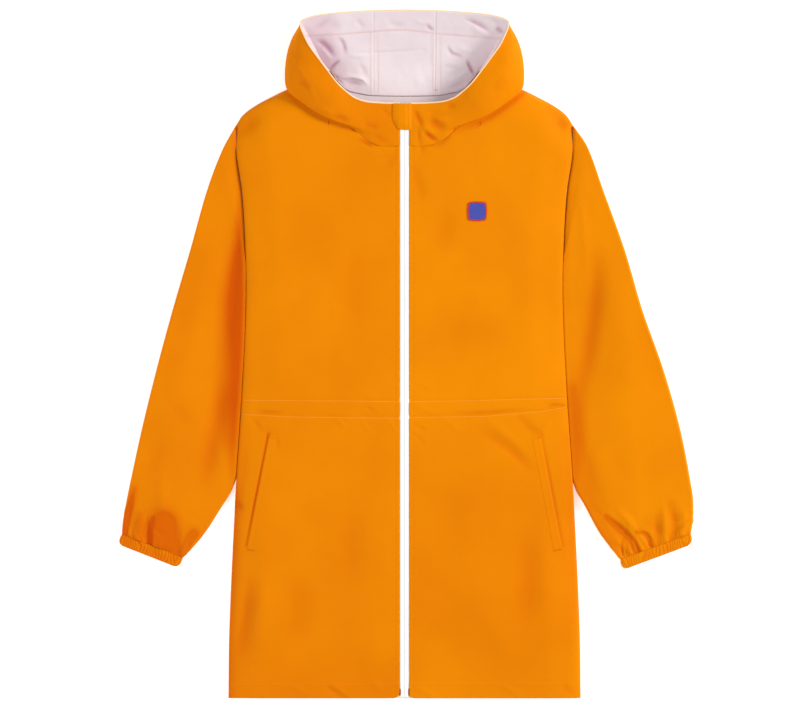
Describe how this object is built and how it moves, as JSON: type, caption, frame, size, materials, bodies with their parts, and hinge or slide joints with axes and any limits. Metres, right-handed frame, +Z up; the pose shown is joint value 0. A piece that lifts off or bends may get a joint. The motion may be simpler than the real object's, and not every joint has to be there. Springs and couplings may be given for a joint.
{
  "type": "hooded raincoat",
  "caption": "Long hooded zip-front raincoat laid flat, front up, sleeves beside the body, with a pale lined hood, elasticated cuffs, slanted welt pockets and a hidden waist channel.",
  "frame": {"origin": "on the surface the coat lies on, below the middle of its bounding box", "axes": "+X towards the wearer's left, +Y from the hem towards the hood, +Z up from the surface through the front of the coat"},
  "size_m": [0.817, 0.9764, 0.0491],
  "materials": {
    "shell": "smooth coated orange cloth with a soft sheen",
    "lining": "pale matt lining",
    "zip_white": "white tape with a smooth coated face",
    "coil_white": "matt moulded plastic",
    "rust": "rust-brown end tab",
    "patch_blue": "plain embroidered patch"
  },
  "bodies": {
    "root": {"front_left": "shell", "sleeve_left": "shell", "cuff_left": "shell", "hood_side_left": "shell", "waist_channel_left": "shell", "pocket_welt_left": "shell", "pocket_bag_left": "shell", "hood_lining_left": "lining", "zip_tape_left": "zip_white", "zip_end_tab_left": "rust", "front_right": "shell", "sleeve_right": "shell", "cuff_right": "shell", "hood_side_right": "shell", "waist_channel_right": "shell", "pocket_welt_right": "shell", "pocket_bag_right": "shell", "hood_lining_right": "lining", "zip_tape_right": "zip_white", "zip_end_tab_right": "rust", "back_panel": "shell", "hood_centre": "shell", "hood_fold": "shell", "chin_guard": "shell", "waist_channel_back": "shell", "hood_lining_centre": "lining", "back_neck_lining": "lining", "zip_coil": "coil_white", "zip_slider": "coil_white", "zip_pull": "coil_white", "chest_patch": "patch_blue"}
  },
  "joints": []
}
